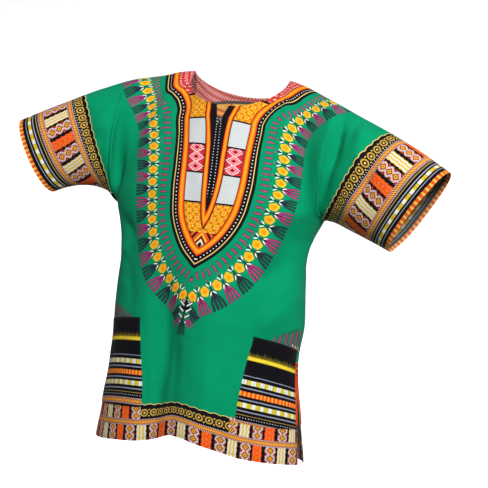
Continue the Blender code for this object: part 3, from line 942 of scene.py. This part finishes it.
def make_block_row():
    """A row of blocks: lozenges between striped and orange blocks, with black wavy bars between them."""
    tree, (offset, along, pitch, tall), target = new_group(
        "block_row", {"Offset": 0.0, "Along": 0.0, "Pitch": 0.056, "Lozenge": 0.012}, ("Color",))
    share = (along / pitch).math("FRACT")
    wave = (offset * 620.0).sine() * 0.012
    # Lozenges, black outside, then amber round a dark middle, on pale pink with small teeth
    lozenge_x = (share - 0.27) * pitch
    lozenge_y = ((offset / tall).math("FRACT") - 0.5) * tall
    step = lozenge_x.size() / 0.0088 + lozenge_y.size() / (tall * 0.5)
    stops = ((0.0, "#3A1210"), (0.11, "#F7B233"), (0.27, "#A83A1C"), (0.335, "#1A1418"), (0.40, "#E88A2A"),
             (0.47, "#2A1519"), (0.53, "#EFDCDD"), (0.63, "#1E1418"), (0.69, "#EFDCDD"), (0.79, "#B8283A"),
             (0.88, "#1E1418"), (0.97, "#C9461F"))
    lozenge = colour_ramp(tree, step * 0.5, stops)
    paint = Paint(tree, BLACK).lay(lozenge, (share - 0.27).size().less_than(wave + 0.205, 0.01))
    # A striped block and an orange block by turns
    other = (share - 0.75) * pitch
    stripe = (other + (offset * 420.0).sine() * 0.0006).cell(0.0072).size().less_than(0.0020, 0.0006)
    striped = Paint(tree, "#DFE2E2").lay("#DDB62C", stripe)
    striped.lay("#8E8F8A", other.cell(0.0072, 0.5).size().less_than(0.0003) * 0.5)
    rings = length(other, offset.cell(0.0110)).cell(0.0050).size().less_than(0.0008, 0.0005)
    orange = Paint(tree, "#EE4A1E").lay("#E8902C", rings * 0.8)
    kind = along.math("DIVIDE", pitch * 2.0).math("FRACT").more_than(0.5, 0.001)
    paint.lay(striped.lay(orange, kind), (share - 0.75).size().less_than(wave + 0.185, 0.01))
    give(target, paint)
    return tree


def make_capsules():
    """Rounded strokes side by side, rose with a black edge."""
    tree, (side, run, half, width), target = new_group(
        "rounded_strokes", {"Side": 0.0, "Length": 0.0, "Half": 0.005, "Width": 0.003}, ("Edge", "Fill"))
    away = length(side, (run.size() - half).most(0.0)) / width
    give(target, away.less_than(1.0, 0.12), away.less_than(0.58, 0.14))
    return tree


def band_stack(tree, place, reach, bands):
    """Bands of plain colour one after another, each from its own start, as far as reach."""
    return colour_ramp(tree, place / reach, [(start / reach, colour) for start, colour in bands])


def lay_band(paint, group, mask=None, **values):
    """Lays a band's colour where its own mask is, inside another mask."""
    node = place_group(paint.tree, group, **values)
    own = Signal(paint.tree, node.outputs[1])
    paint.lay(node.outputs[0], own if mask is None else own * mask)


def lay_blocks(paint, group, mask, **values):
    """Lays a row of blocks, which has no mask of its own."""
    paint.lay(place_group(paint.tree, group, **values).outputs[0], mask)


def lay_strokes(paint, group, colours, mask, **values):
    """Lays rounded strokes in two colours, their edge and then their fill."""
    node = place_group(paint.tree, group, **values)
    for output, colour in zip(node.outputs, colours):
        paint.lay(colour, Signal(paint.tree, output) * mask)


def lay_fan(paint, group, side, out, spread, reach, colours, mask):
    """Four long petals that open from one point like a tulip, in colours that each hold their share."""
    root = (out / (reach * 0.55)).most(0.02).math("SQRT").least(1.0) * (out / reach * 0.25 + 0.80)
    place = side / root
    node = place_group(paint.tree, group, Side=place.cell(spread) * root, Length=out - reach * 0.54,
                       Half=reach * 0.40, Width=spread * 0.36)
    inside = mask * place.size().less_than(spread * 2.0, 0.0004)
    paint.lay(BLACK, Signal(paint.tree, node.outputs[0]) * inside)
    fill = Signal(paint.tree, node.outputs[1]) * inside
    for colour, share in colours:
        paint.lay(colour, fill * share)


def cloth_shader(material, colour, roughness, height):
    """The cotton's surface: rough, with a faint sheen, and with the weave as bumps."""
    tree = material.node_tree
    shader = tree.nodes["Principled BSDF"]
    shader.inputs["Metallic"].default_value = 0.0
    shader.inputs["Specular IOR Level"].default_value = 0.06
    shader.inputs["Sheen Weight"].default_value = 0.01
    shader.inputs["Sheen Roughness"].default_value = 0.55
    bump = tree.nodes.new("ShaderNodeBump")
    bump.inputs["Strength"].default_value = 0.6
    bump.inputs["Distance"].default_value = 0.0003
    tree.links.new(colour.socket, shader.inputs["Base Color"])
    tree.links.new(roughness.socket, shader.inputs["Roughness"])
    tree.links.new(height.socket, bump.inputs["Height"])
    tree.links.new(bump.outputs[0], shader.inputs["Normal"])


def new_material(name):
    material = bpy.data.materials.new(name)
    material.use_nodes = True
    return material


def lay_yoke(paint, tools, yoke, yoke_run, slit, down, drawn):
    """The neck yoke, from its outer edge in: gold line, dots, wide cord, blocks and inner cord."""
    black = yoke.less_than(0.0)
    paint.lay(BLACK, black)
    paint.lay(CREAM, yoke.between(-0.0088, -0.0068))
    paint.lay(WHITE, length(yoke + 0.0148, yoke_run.cell(0.0082)).less_than(0.0013))
    lay_band(paint, tools["cord"], Offset=yoke + 0.0270, Width=0.0136, Along=yoke_run)
    inside = yoke.less_than(-0.0350)
    column = inside * slit.more_than(0.0018)

    # Blocks of the column, counted down from the neck
    row = down * -1.0 - 0.088
    within = (row / YOKE_BLOCK).math("FRACT")
    step = row.number(YOKE_BLOCK).math("MODULO", 4.0)
    middle = (yoke * -1.0 - 0.0350 - slit) * 0.5
    # Pale block with faint zigzags
    zigzag = (down + middle.cell(0.0100).size() * 0.8).cell(0.0065).size().less_than(0.0008, 0.0008)
    fine = middle.cell(0.0050).size().less_than(0.0004, 0.0006)
    pale = Paint(paint.tree, PALE).lay("#C4BC7C", zigzag * 0.85).lay("#D2D9E2", fine * 0.5)
    # Rose block with dark-hearted lozenges in two columns
    lozenge = middle.size() / 0.0150 + row.cell(0.0216).size() / 0.0108
    rose = Paint(paint.tree, "#EFCDD0")
    for reach, colour in ((0.92, RED), (0.70, "#F2B9BE"), (0.52, RED), (0.22, "#3E0D16")):
        rose.lay(colour, lozenge.less_than(reach, 0.05))
    rose.lay(RED, lozenge.more_than(1.22, 0.05))
    teeth = middle.size().more_than(0.0135, 0.0006) * down.cell(0.0050).size().less_than(0.0012)
    rose.lay("#8E1F30", teeth)
    # Amber block with yellow and red petals round small squares
    beside = middle.cell(0.0150).size()
    above = down.cell(0.0150).size()
    petal = beside + above
    amber = Paint(paint.tree, "#E8A020").lay("#F9D440", petal.less_than(0.0058, 0.0008))
    amber.lay("#C43A14", petal.between(0.0078, 0.0092, 0.0008))
    amber.lay("#B5421A", beside.least(above).less_than(0.0006, 0.0006))
    amber.lay("#D9581C", petal.less_than(0.0022, 0.0006))
    paint.lay(amber, column)
    paint.lay(pale, column * step.between(0.5, 1.5, 0.01).most(step.more_than(2.5, 0.01)))
    paint.lay(rose, column * step.between(1.5, 2.5, 0.01))
    paint.lay(BLACK, column * within.less_than(0.060, 0.01))

    # Rose and white ticks on the collar, above the column
    collar = inside * down.more_than(-0.088, 0.0004)
    paint.lay("#C8382F", collar)
    tick = (yoke_run + yoke * 0.5).cell(0.0082).size().less_than(0.0010, 0.0006)
    paint.lay("#F1E4E6", collar * tick * yoke.cell(0.0130, 0.3).size().less_than(0.0036, 0.0008))
    paint.lay(BLACK, collar * down.less_than(-0.0855, 0.0004))

    # Stepped diamond at the foot of the yoke
    foot = inside * slit.more_than(0.0018) * down.less_than(-0.4115, 0.0004)
    steps = drawn.size() + (down + 0.437).size() * 0.75
    paint.lay("#1A1218", foot)
    for reach, colour in ((0.0400, "#E2531F"), (0.0330, "#1A1218"), (0.0270, "#E2531F"), (0.0200, "#F7B233"),
                          (0.0150, "#7A1E1A"), (0.0090, "#F4E7C0"), (0.0050, INK)):
        paint.lay(colour, foot * steps.less_than(reach, 0.0005))

    lay_band(paint, tools["cord"], inside, Offset=slit + 0.0052, Width=0.0100, Along=down)
    middle_dots = length(drawn.size() - 0.0048, down.cell(0.0068)).less_than(0.0010)
    paint.lay(WHITE, middle_dots * slit.less_than(-0.0125))


def lay_ring(paint, tools, strokes, strokes_run, ring, ring_run, down, drawn):
    """The ring of rounded strokes, buds, leaves and petal fans that runs round the yoke."""
    away = strokes.between(-0.013, 0.014, 0.0004)
    lay_strokes(paint, tools["strokes"], (BLACK, "#B04C7C"), away, Side=strokes_run.cell(1.0) * 0.0123,
                Length=strokes, Half=0.0066, Width=0.0027)
    # Petal fans, magenta and dark by turns, outside the buds
    fan_side = ring_run.cell(1.0) * BUD_PITCH
    dark = ring_run.odd(1.0)
    light = dark.math("MULTIPLY_ADD", -1.0, 1.0)
    beside = drawn.size().more_than(0.0170, 0.0004)
    lay_fan(paint, tools["strokes"], fan_side, ring - 0.008, 0.0068, 0.0390,
            ((MAGENTA, light), (TEAL, dark * 0.7)), ring.between(0.008, 0.054, 0.0004) * beside)
    # Stems between the buds, each with a knob at its inner end and two leaves
    paint.lay(BLACK, fan_side.size().less_than(0.0012) * ring.between(-0.018, 0.022, 0.0004))
    paint.lay("#8A3A68", length(fan_side, ring + 0.0185).less_than(0.0023))
    leaf = length((fan_side.size() - ring.size() * 0.45 - 0.0010) * 2.6, ring - 0.0085)
    paint.lay(BLACK, leaf.less_than(0.0056, 0.0006) * ring.between(0.001, 0.018, 0.0004))
    # Buds with a yellow-green edge and an orange heart
    bud_side = ring_run.cell(1.0, 0.5) * BUD_PITCH
    lobes = (bud_side.math("ARCTAN2", ring) * 5.0).sine() * 0.07 + 1.0
    bud = length(bud_side / 0.0092, ring / 0.0112) * lobes
    paint.lay("#3F7A3A", bud.less_than(1.12, 0.05))
    paint.lay("#DCCB3C", bud.less_than(1.00, 0.08))
    paint.lay(AMBER, (length(bud_side / 0.0080, (ring + 0.0014) / 0.0092) * lobes).less_than(0.95, 0.10))
    paint.lay("#F58A1A", length(bud_side, ring - 0.0008).less_than(0.0034, 0.0022))
    # White leaves on both sides of each bud
    tick = bud_side.size() - 0.0106 + (ring.size() - 0.0100) * 0.55
    white = length(tick, (ring.size() - 0.0098) * 0.34).less_than(0.0015, 0.0004)
    paint.lay(WHITE, white * ring.between(-0.015, 0.015, 0.0004))

    # Below the ring's point: a stem with chevron leaves, small side fans and a last fan
    front = ring.less_than(0.150)
    tail = front * down.between(-0.650, -0.556, 0.0004)
    paint.lay(BLACK, front * drawn.size().less_than(0.0012) * down.between(-0.600, -0.540, 0.0004))
    chevron = (down - drawn.size() * 0.75).cell(0.0125)
    leaves = front * drawn.size().between(0.0015, 0.0165, 0.0004) * down.between(-0.602, -0.553, 0.0004)
    paint.lay(BLACK, chevron.size().less_than(0.0042) * leaves)
    paint.lay(WHITE, chevron.size().less_than(0.0019) * leaves * drawn.size().between(0.0030, 0.0150, 0.0004))
    lay_fan(paint, tools["strokes"], drawn, (down + 0.596) * -1.0, 0.0056, 0.0320, ((TEAL, 0.7),), tail)
    # Side fans: how far out and down each starts, its size, its colour and that colour's share
    for start_out, start_down, spread, reach, colour in ((0.0120, 0.574, 0.0050, 0.0280, (TEAL, 0.7)),
                                                         (0.0080, 0.593, 0.0042, 0.0220, (MAGENTA, 1.0))):
        beyond = drawn.size() - start_out
        below = (down + start_down) * -1.0
        lay_fan(paint, tools["strokes"], beyond * 0.68 - below * 0.73, beyond * 0.73 + below * 0.68, spread,
                reach, (colour,), drawn.size().between(start_out, 0.060, 0.0004) * tail)


def lay_side_sprigs(paint, tools, across, side, down, front):
    """A tuft of thin petals that grows taller towards each side, just above the pockets."""
    height = down + 0.602
    extent = across.less_than(0.0) * 0.064 + 0.092
    share = side / extent
    tall = (side * 910.0).sine() * 0.0020 + share * share * -0.0205 + 0.0225
    tuft = front * share.less_than(1.0, 0.004) * height.between(-0.004, 0.056, 0.0004)
    dark = side.odd(0.0072)
    node = place_group(paint.tree, tools["strokes"], Side=side.cell(0.0072), Length=height - tall,
                       Half=tall - 0.0020, Width=0.0027)
    paint.lay(BLACK, Signal(paint.tree, node.outputs[0]) * tuft)
    fill = Signal(paint.tree, node.outputs[1]) * tuft
    paint.lay(MAGENTA, fill * dark)
    paint.lay("#4E8C72", fill * dark.math("MULTIPLY_ADD", -0.8, 0.8))
    low = front * side.less_than(0.034)
    paint.lay(AMBER, length(side.cell(0.0120, 0.3), height - 0.004).less_than(0.0026, 0.0006) * low)
    paint.lay(WHITE, length(side.cell(0.0120, 0.8), height - 0.009).less_than(0.0018, 0.0006) * low)


def lay_scallops(paint, place, along, low, high):
    """A black band with a scalloped gold edge and gold rings, from low to high above the border's edge."""
    wave = (along * (math.pi / 0.0200)).sine().size() * 0.0026
    top = wave + (high - 0.0030)
    black = place.between(low, high - 0.0045, 0.0004).most(place.less_than(top) * place.more_than(low))
    paint.lay(BLACK, black)
    paint.lay(CREAM, (place - top).size().less_than(0.0008, 0.0004))
    middle = (low + high) / 2 - 0.002
    ring = length(along.cell(0.0200, 0.5), place - middle)
    paint.lay("#DDB24C", (ring - 0.0066).size().less_than(0.0014, 0.0005))
    paint.lay("#8E6A24", (ring - 0.0066).size().less_than(0.0004, 0.0004))
    paint.lay("#F0D27A", ring.less_than(0.0020, 0.0005))
    for above in (0.0065, -0.0070):
        small = along.cell(0.0200).size() + (place - middle - above).size()
        paint.lay(CREAM, small.less_than(0.0018, 0.0005))


def lay_cuff(paint, tools, cuff, around):
    """The sleeve border, from the edge of the cuff up the sleeve."""
    bands = ((0.0, INK), (0.0135, STEEL), (0.0150, INK), (0.0280, STEEL), (0.0295, INK), (0.0350, OCHRE),
             (0.0360, INK), (0.0385, "#6C6F80"), (0.0395, INK), (0.1160, INK))
    paint.lay(band_stack(paint.tree, cuff, 0.160, bands), cuff.less_than(0.1250))
    lay_band(paint, tools["dashes"], Offset=cuff - 0.0036, Width=0.0078, Along=around, Pitch=0.0110,
             First="#F0561C", Second="#FFC04A")
    lay_band(paint, tools["dashes"], Offset=cuff - 0.0218, Width=0.0062, Along=around, Pitch=0.0240,
             First="#D9B92C", Second="#E3E0D0")
    lay_blocks(paint, tools["blocks"], cuff.between(0.0520, 0.1000, 0.0004), Offset=cuff - 0.0530,
               Along=around, Pitch=0.0580, Lozenge=0.0160)
    for middle in (0.0460, 0.1060):
        lay_band(paint, tools["slashed"], Offset=cuff - middle, Width=0.0125, Along=around)
    lay_scallops(paint, cuff, around, 0.1122, 0.1420)
    paint.lay(WHITE, length(cuff - 0.1145, around.cell(0.0062)).less_than(0.0008))


def lay_hem(paint, tools, hem, across, pocket):
    """The border along the hem, from the edge up; beside the pockets it has a second row of blocks."""
    lay_scallops(paint, hem, across, 0.0440, 0.0790)
    lay_blocks(paint, tools["blocks"], pocket * hem.between(0.0440, 0.0800, 0.0004), Offset=hem - 0.0455,
               Along=across, Pitch=0.0560, Lozenge=0.0150)
    lay_blocks(paint, tools["blocks"], hem.less_than(0.0335), Offset=hem - 0.0020, Along=across + 0.017,
               Pitch=0.0540, Lozenge=0.0160)
    lay_band(paint, tools["slashed"], Offset=hem - 0.0395, Width=0.0130, Along=across)


def finish_print(material, tools, paint, across, down, stitches):
    """Weave with its painted shade between the threads, fading and topstitching over the printed colours."""
    tree = material.node_tree
    thread = place_group(tree, tools["weave"], Across=across, Down=down)
    shade = Signal(tree, thread.outputs["Shade"])
    rise = Signal(tree, thread.outputs["Height"])
    place, line, along, colour = stitches
    stitch = (place - line).size().less_than(0.0004, 0.0002) * along.cell(0.0032).size().less_than(0.0011)
    paint.lay(colour, stitch * 0.8)
    groove = (place - line).size().less_than(0.0012, 0.0012)
    rise = rise + stitch * 3.0 - groove * 2.0
    # The weave's mottle and its painted shade between the threads darken the printed colours
    tone = tree.nodes.new("ShaderNodeMix")
    tone.data_type = "RGBA"
    tone.blend_type = "MULTIPLY"
    tone.inputs["Factor"].default_value = 1.0
    tree.links.new(paint.socket, tone.inputs[6])
    tree.links.new(shade.socket, tone.inputs[7])
    cloth_shader(material, Signal(tree, tone.outputs[2]), shade.math("MULTIPLY_ADD", -0.25, 1.05), rise)


def make_printed_cotton(tools):
    material = new_material("printed_cotton")
    tree = material.node_tree
    across, down, inner = marks_of(tree, "cut")
    yoke, yoke_run, slit = marks_of(tree, "yoke")
    ring, ring_run, drawn = marks_of(tree, "ring")
    strokes, strokes_run, neck = marks_of(tree, "strokes")
    cuff, hem, side = marks_of(tree, "ends")
    paint = Paint(tree, GREEN)
    lay_ring(paint, tools, strokes, strokes_run, ring, ring_run, down, drawn)
    lay_yoke(paint, tools, yoke, yoke_run, slit, down, drawn)
    lay_side_sprigs(paint, tools, across, side, down, ring.less_than(0.330))
    lay_cuff(paint, tools, cuff, down)
    pocket = across.less_than(-0.088, 0.0004).most(across.more_than(0.121, 0.0004))
    lay_hem(paint, tools, hem, across, pocket)
    # The reverse is a little paler
    paint.lay("#C9D2CC", inner * 0.12)
    edge = hem.least(cuff).least(neck)
    finish_print(material, tools, paint, across, down, (edge, 0.0055, across + down, "#2A2830"))
    return material


def make_pocket_cotton(tools):
    material = new_material("pocket_cotton")
    tree = material.node_tree
    across, depth, width = marks_of(tree, "patch")
    fall = depth / 1.12
    bands = ((0.0, INK), (0.0720, SLATE), (0.0742, INK), (0.0945, SLATE), (0.0967, INK), (0.1155, SLATE),
             (0.1177, INK), (0.1362, SLATE), (0.1384, INK), (0.1440, OCHRE), (0.1452, INK))
    paint = Paint(tree, BLACK)
    paint.lay(band_stack(tree, fall, 0.200, bands), fall.less_than(0.1800))
    # Yellow yarn line whose upper edge is feathered
    feather = noise(tree, "W", across.socket, 420.0) * 0.022
    paint.lay("#8C7A22", fall.less_than(0.0440) * (fall + feather).more_than(0.0450, 0.0060) * 0.8)
    paint.lay("#E8C81E", fall.between(0.0375, 0.0445, 0.0012))
    paint.lay("#F6E25A", fall.between(0.0395, 0.0425, 0.0012) * 0.6)
    for middle, pitch, first, second in ((0.0850, 0.0200, "#E2E4DC", "#D8C43A"),
                                         (0.1065, 0.0090, "#FFA63A", "#E8481A"),
                                         (0.1270, 0.0190, "#D8C43A", "#E6E6DE")):
        lay_band(paint, tools["dashes"], Offset=fall - middle, Width=0.0088, Along=across, Pitch=pitch,
                 First=first, Second=second)
    paint.lay(WHITE, length(fall - 0.1500, across.cell(0.0060)).less_than(0.0008))
    lay_band(paint, tools["slashed"], Offset=fall - 0.1615, Width=0.0125, Along=across)
    edge = across.least(width - across)
    stitches = edge.least(depth), 0.0030, depth + across, "#3A3A48"
    finish_print(material, tools, paint, across, depth, stitches)
    return material


def make_vent_tape(tools):
    material = new_material("vent_tape")
    tree = material.node_tree
    across, fall, width = marks_of(tree, "patch")
    paint = Paint(tree, "#F8481C")
    # Dark and gold dots near its top
    dark = length(across.cell(0.0060), fall.cell(0.0110)).less_than(0.0024, 0.0006)
    gold = length(across.cell(0.0060, 0.5), fall.cell(0.0130, 0.5)).less_than(0.0014)
    paint.lay("#8C1F24", fall.less_than(0.0360) * dark)
    paint.lay("#F4B23A", fall.less_than(0.0260) * gold)
    edge = across.least(width - across)
    finish_print(material, tools, paint, across, fall, (edge, 0.0016, fall, "#B8300E"))
    return material


def make_stage():
    """A pale seamless floor that rises all round, so it backs the shirt from every side."""
    bpy.ops.object.select_all(action="DESELECT")
    bpy.ops.mesh.primitive_circle_add(vertices=96, radius=2.6, fill_type="NGON", location=(0, 0, STAGE_Z))
    stage = bpy.context.object
    stage.name = "stage"
    bpy.ops.object.mode_set(mode="EDIT")
    bpy.ops.mesh.select_all(action="SELECT")
    for step in range(1, 13):
        turn = step / 12 * math.pi / 2
        earlier = (step - 1) / 12 * math.pi / 2
        radius = 2.6 + 2.4 * math.sin(turn)
        last_radius = 2.6 + 2.4 * math.sin(earlier)
        rise = 2.4 * (math.cos(earlier) - math.cos(turn))
        bpy.ops.mesh.region_to_loop()
        bpy.ops.mesh.extrude_edges_move(TRANSFORM_OT_translate={"value": (0, 0, rise)})
        size = radius / last_radius
        bpy.ops.transform.resize(value=(size, size, 1), center_override=(0, 0, STAGE_Z))
    bpy.ops.mesh.region_to_loop()
    bpy.ops.mesh.extrude_edges_move(TRANSFORM_OT_translate={"value": (0, 0, 2.0)})
    bpy.ops.mesh.select_all(action="SELECT")
    bpy.ops.mesh.normals_make_consistent(inside=True)
    bpy.ops.object.mode_set(mode="OBJECT")
    bpy.ops.object.transform_apply(location=True, rotation=True, scale=True)
    bpy.ops.object.shade_smooth()
    material = new_material("pale_paper")
    shader = material.node_tree.nodes["Principled BSDF"]
    shader.inputs["Base Color"].default_value = linear("#F4F5F6")
    shader.inputs["Roughness"].default_value = 0.9
    shader.inputs["Specular IOR Level"].default_value = 0.1
    stage.data.materials.append(material)
    # The paper is only a backdrop, so it throws no light back on the cloth
    stage.visible_diffuse = False


def make_light(name, place, aim, size, power):
    light = bpy.data.lights.new(name, "AREA")
    light.shape = "DISK"
    light.size = size
    light.energy = power
    lamp = bpy.data.objects.new(name, light)
    lamp.visible_camera = False
    lamp.location = place
    lamp.rotation_euler = (Vector(aim) - Vector(place)).to_track_quat("-Z", "Y").to_euler()
    bpy.context.scene.collection.objects.link(lamp)


def make_lights():
    """A main lamp in front on the right, weak ones on top and on the left, and two for the paper behind."""
    make_light("key_light", (1.50, -2.20, 0.75), (0, 0, -0.35), 0.5, 91)
    make_light("top_light", (0.2, -0.9, 1.7), (0, 0, -0.4), 1.2, 5)
    make_light("fill_light", (-2.2, -1.4, 0.2), (0, 0, -0.4), 1.4, 8)
    make_light("paper_light_left", (-1.5, 1.0, 0.6), (-0.8, 4.5, -0.6), 1.2, 120)
    make_light("paper_light_right", (1.5, 1.0, 0.6), (0.8, 4.5, -0.6), 1.2, 120)
    world = bpy.data.worlds.new("pale_room")
    world.use_nodes = True
    sky = world.node_tree.nodes["Background"]
    sky.inputs[0].default_value = linear("#F2F4F6")
    sky.inputs[1].default_value = 0.20
    bpy.context.scene.world = world


def make_camera():
    """The photograph's view: from below the shoulders, a little to the right, and leaning over."""
    turn = math.radians(22)
    lean = math.radians(8)
    away = 2.0
    to_right = Vector((math.cos(turn), math.sin(turn), 0))
    back = Vector((math.sin(turn), -math.cos(turn), 0))
    right = to_right * math.cos(lean) + Vector((0, 0, 1)) * math.sin(lean)
    up = Vector((0, 0, 1)) * math.cos(lean) - to_right * math.sin(lean)
    lens = bpy.data.cameras.new("photograph_view")
    lens.sensor_width = 36
    lens.lens = 66.3
    lens.shift_x = 0.0682
    lens.shift_y = 0.1118
    lens.clip_start = 0.05
    lens.clip_end = 60
    camera = bpy.data.objects.new("photograph_view", lens)
    camera.matrix_world = Matrix((right, up, back)).transposed().to_4x4()
    camera.location = (away * math.sin(turn), -away * math.cos(turn), -0.5)
    bpy.context.scene.collection.objects.link(camera)
    bpy.context.scene.camera = camera


make_camera()
make_lights()
make_stage()
bpy.context.scene.view_settings.view_transform = "Standard"

tools = {
    "weave": make_weave(),
    "cord": make_cord(),
    "slashed": make_slashed_cord(),
    "dashes": make_dashes(),
    "blocks": make_block_row(),
    "strokes": make_capsules(),
}
printed_cotton = make_printed_cotton(tools)
pocket_cotton = make_pocket_cotton(tools)
vent_tape = make_vent_tape(tools)
panels = {}
for panel in ("front", "back"):
    piece, grid, outer, area = add_panel(panel, printed_cotton)
    panels[panel] = grid, outer
    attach(piece, "root")
    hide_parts(panel)
    print(panel, "cloth area", round(area, 4), "cut", round(-HEM_DOWN, 3))

for side in (-1, 1):
    grid, outer = panels["front"]
    name = side_name(side)
    pocket_shares = (side * POCKET_INNER_RING[name], side * STRIP_INNER_RING)
    pull_in = (0.0006, 0.0) if side < 0 else (0.0, 0.0006)
    piece, width, fall = add_patch("patch_pocket_" + name, grid, outer, POCKET_TOP_Z, POCKET_BOTTOM_Z,
                                   pocket_shares, pull_in, pocket_cotton)
    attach(piece, "root")
    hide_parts("pocket_" + name)
    for panel in ("front", "back"):
        grid, outer = panels[panel]
        strip_shares = (side * STRIP_INNER_RING, side * 1.0)
        piece, width, fall = add_patch("vent_tape_" + panel + "_" + name, grid, outer, VENT_TOP_Z,
                                       HEM_BORDER_TOP_Z, strip_shares, (0.0, 0.0), vent_tape)
        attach(piece, "root")
        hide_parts("vent_strip_" + panel + "_" + name)
        "shirt_" + panel
